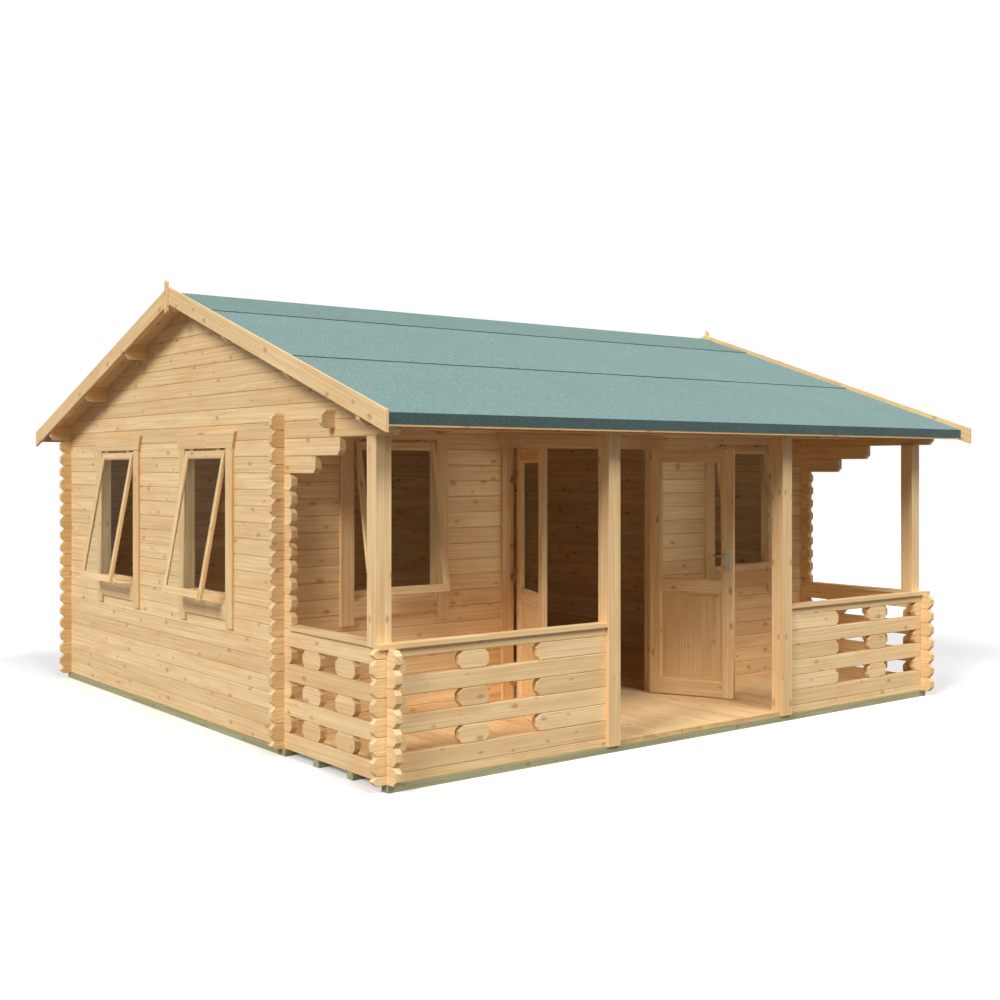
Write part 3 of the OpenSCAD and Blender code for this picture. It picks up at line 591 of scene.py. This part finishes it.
SASH = dict(width=0.664, height=1.07274, deep=0.027, stile=0.04, bead=0.008,
            rails=[(0, 0.05), (1.02274, 1.07274)], panes=[(0.05, 1.02274)])
SASH_PROUD, SASH_TOP, SASH_TILT = 0.018, 2.03316, math.radians(-10.5)
sashes = start_piece()
tilted = (Matrix.Translation((0, -SASH_PROUD, SASH_TOP)) @ Matrix.Rotation(SASH_TILT, 4, "X")
          @ Matrix.Translation((-SASH["width"] / 2, 0, -SASH["height"])))
places = [Matrix.Translation((x, FRONT_Y, COURSE / 2)) for x in (-1.795, 1.795)]
places += [Matrix.Translation((-HALF, y, 0)) @ Matrix.Rotation(math.radians(-90), 4, "Z")
           for y in (-0.225, 1.475)]
for place in places:
    joinery(sashes, place @ tilted, **SASH)
finish_piece(sashes, "window_joinery", "cabin", [board_uv, end_grain], ["window_sashes"])

# %% [markdown]
# ## Door leaves
# Both leaves stand 114 degrees open. Each is drawn flat in its own frame and turned about its hinge pin,
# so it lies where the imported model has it. The right leaf is the left one mirrored about the middle of
# the doorway, which is 30 mm left of the middle of the wall.

# %% Hang the leaves
LEAF = dict(width=0.7075, height=1.9714, deep=0.04, stile=0.094,
            rails=[(0, 0.12), (0.8342, 0.9242), (1.8774, 1.9714)],
            panes=[(0.9242, 1.8774)], panels=[(0.12, 0.8342)])
PIN, LEAF_OPEN = (-0.7435, -1.447, 0.08), math.radians(-114)
hung = (Matrix.Translation(PIN) @ Matrix.Rotation(LEAF_OPEN, 4, "Z")
        @ Matrix.Translation((0.003, 0.012, 0)))
mirrored = Matrix.Translation((-0.06, 0, 0)) @ Matrix.Scale(-1, 4, (1, 0, 0))
for side, place in (("left", hung), ("right", mirrored @ hung)):
    leaf = start_piece()
    joinery(leaf, place, **LEAF)
    finish_piece(leaf, side + "_door_joinery", side + "_door",
                 [board_uv, end_grain], [side + "_door_leaf"])

# %% [markdown]
# ## Lever handle
# The right leaf has a satin steel lever on a tall plate, inside and out, with a keyhole under it. The plate
# is a rounded outline raised in two steps, the lever a tube along a bent path that narrows to its tip.

# %% Fit the lever
def rounded(width, height, radius, sides=6):
    points = []
    for cx, cz, start in ((1, 1, 0), (-1, 1, 90), (-1, -1, 180), (1, -1, 270)):
        for i in range(sides + 1):
            turn = math.radians(start + 90 * i / sides)
            points.append((cx * (width / 2 - radius) + radius * math.cos(turn),
                           cz * (height / 2 - radius) + radius * math.sin(turn)))
    return points


def raised(bm, steps, place):
    joined(bm, [[bm.verts.new(place @ Vector((x, out, z))) for x, z in outline] for outline, out in steps])


def tube(bm, path, radii, place, sides=14):
    turns = [2 * math.pi * k / sides for k in range(sides)]
    up = Vector((0, 0, 1))
    rings = []
    for i, (point, radius) in enumerate(zip(path, radii)):
        ahead = (Vector(path[min(i + 1, len(path) - 1)]) - Vector(path[max(i - 1, 0)])).normalized()
        side = ahead.cross(up).normalized()
        ring = [Vector(point) + radius * (side * math.cos(t) + up * math.sin(t)) for t in turns]
        rings.append([bm.verts.new(place @ spot) for spot in ring])
    joined(bm, rings)
    face(bm, rings[0][::-1], ((0, 0),) * sides, 0.5)


lever = start_piece()
bend = [(0, 0.006, 0), (0, 0.026, 0)]
bend += [(-0.013 * (1 - math.cos(t)), 0.026 + 0.013 * math.sin(t), 0) for t in (0.4, 0.8, 1.2, 1.5708)]
bend += [(-0.04, 0.0395, 0.001), (-0.075, 0.039, 0.001), (-0.105, 0.038, -0.001), (-0.110, 0.0375, -0.002)]
thick = [0.0085] * 7 + [0.008, 0.0075, 0.0055]
plate, plate_top = rounded(0.04, 0.185, 0.012), rounded(0.037, 0.182, 0.0105)
keyhole, keyhole_top = rounded(0.017, 0.034, 0.0084), rounded(0.0155, 0.0325, 0.0077)
rose = [(0.0135, 0.006), (0.0135, 0.0105), (0.0125, 0.0118), (0.009, 0.0118)]
SPINDLE_X, SPINDLE_Z = 0.6605, 1.1302
inside_face = Matrix.Translation((SPINDLE_X, LEAF["deep"], SPINDLE_Z))
outside_face = Matrix.Translation((SPINDLE_X, 0, SPINDLE_Z)) @ Matrix.Scale(-1, 4, (0, 1, 0))
for leaf_face in (inside_face, outside_face):
    place = mirrored @ hung @ leaf_face
    raised(lever, [(plate, 0.0), (plate, 0.0062), (plate_top, 0.008)],
           place @ Matrix.Translation((0, 0, -0.0333)))
    turned(lever, rose, place @ axes((0, 0, 0), (1, 0, 0), (0, 0, -1)), 20)
    tube(lever, bend, thick, place)
    raised(lever, [(keyhole, 0.006), (keyhole, 0.0105), (keyhole_top, 0.0115)],
           place @ Matrix.Translation((0, 0, -0.075)))
finish_piece(lever, "lever_handle", "right_door", [satin_steel], ["door_handle"], smooth=35)

# %% [markdown]
# ## Studio floor and light
# The cabin stands on a plain white floor in soft light from its left and from its front, with an even sky
# around it. The camera sees the sky and the floor's far part as white, and the floor still takes the
# cabin's shadow.

# %% Floor, sky and lamps
def seen_directly(tree):
    path = add(tree, "ShaderNodeLightPath").outputs
    seen = add(tree, "ShaderNodeMath", {"operation": "MAXIMUM"},
               {0: path["Is Camera Ray"], 1: path["Is Glossy Ray"]})
    seen = add(tree, "ShaderNodeMath", {"operation": "MAXIMUM"},
               {0: seen.outputs[0], 1: path["Is Transmission Ray"]})
    return seen.outputs[0]


floor_mesh = bpy.data.meshes.new("studio_floor")
bm = bmesh.new()
bmesh.ops.create_grid(bm, x_segments=8, y_segments=8, size=60)
bm.to_mesh(floor_mesh)
bm.free()
studio_floor = bpy.data.objects.new("studio_floor", floor_mesh)
studio_floor.location.z = -0.001
bpy.context.collection.objects.link(studio_floor)

pale = bpy.data.materials.new("white studio floor")
pale.use_nodes = True
tree = pale.node_tree
tree.nodes.remove(tree.nodes["Principled BSDF"])
seen = seen_directly(tree)
tint = add(tree, "ShaderNodeMix", {"data_type": "RGBA"},
           {"Factor": seen, "A": srgb("#606060"), "B": srgb("#FAFAFA")})
matt = add(tree, "ShaderNodeBsdfDiffuse", {}, {"Color": tint.outputs["Result"]})
lift = add(tree, "ShaderNodeMath", {"operation": "MULTIPLY"}, {0: seen, 1: 0.15})
glow = add(tree, "ShaderNodeEmission", {}, {"Strength": lift.outputs[0]})
both = add(tree, "ShaderNodeAddShader", {}, {0: matt.outputs[0], 1: glow.outputs[0]})
tree.links.new(both.outputs[0], tree.nodes["Material Output"].inputs["Surface"])
floor_mesh.materials.append(pale)

sky = bpy.data.worlds.new("studio sky")
bpy.context.scene.world = sky
sky.use_nodes = True
tree = sky.node_tree
level = add(tree, "ShaderNodeMapRange", {}, {0: seen_directly(tree), 3: 0.29, 4: 1.0})
tree.links.new(level.outputs[0], tree.nodes["Background"].inputs["Strength"])
tree.nodes["Background"].inputs["Color"].default_value = (1, 1, 1, 1)

for name, energy, spread, heading in (("soft_key", 2.45, 20, (0.80, 0.22, -0.56)),
                                      ("soft_front", 1.85, 24, (-0.05, 0.64, -0.76))):
    lamp = bpy.data.lights.new(name, "SUN")
    lamp.energy = energy
    lamp.angle = math.radians(spread)
    light = bpy.data.objects.new(name, lamp)
    light.rotation_euler = Vector(heading).to_track_quat("-Z", "Y").to_euler()
    bpy.context.collection.objects.link(light)
    print(name, energy)
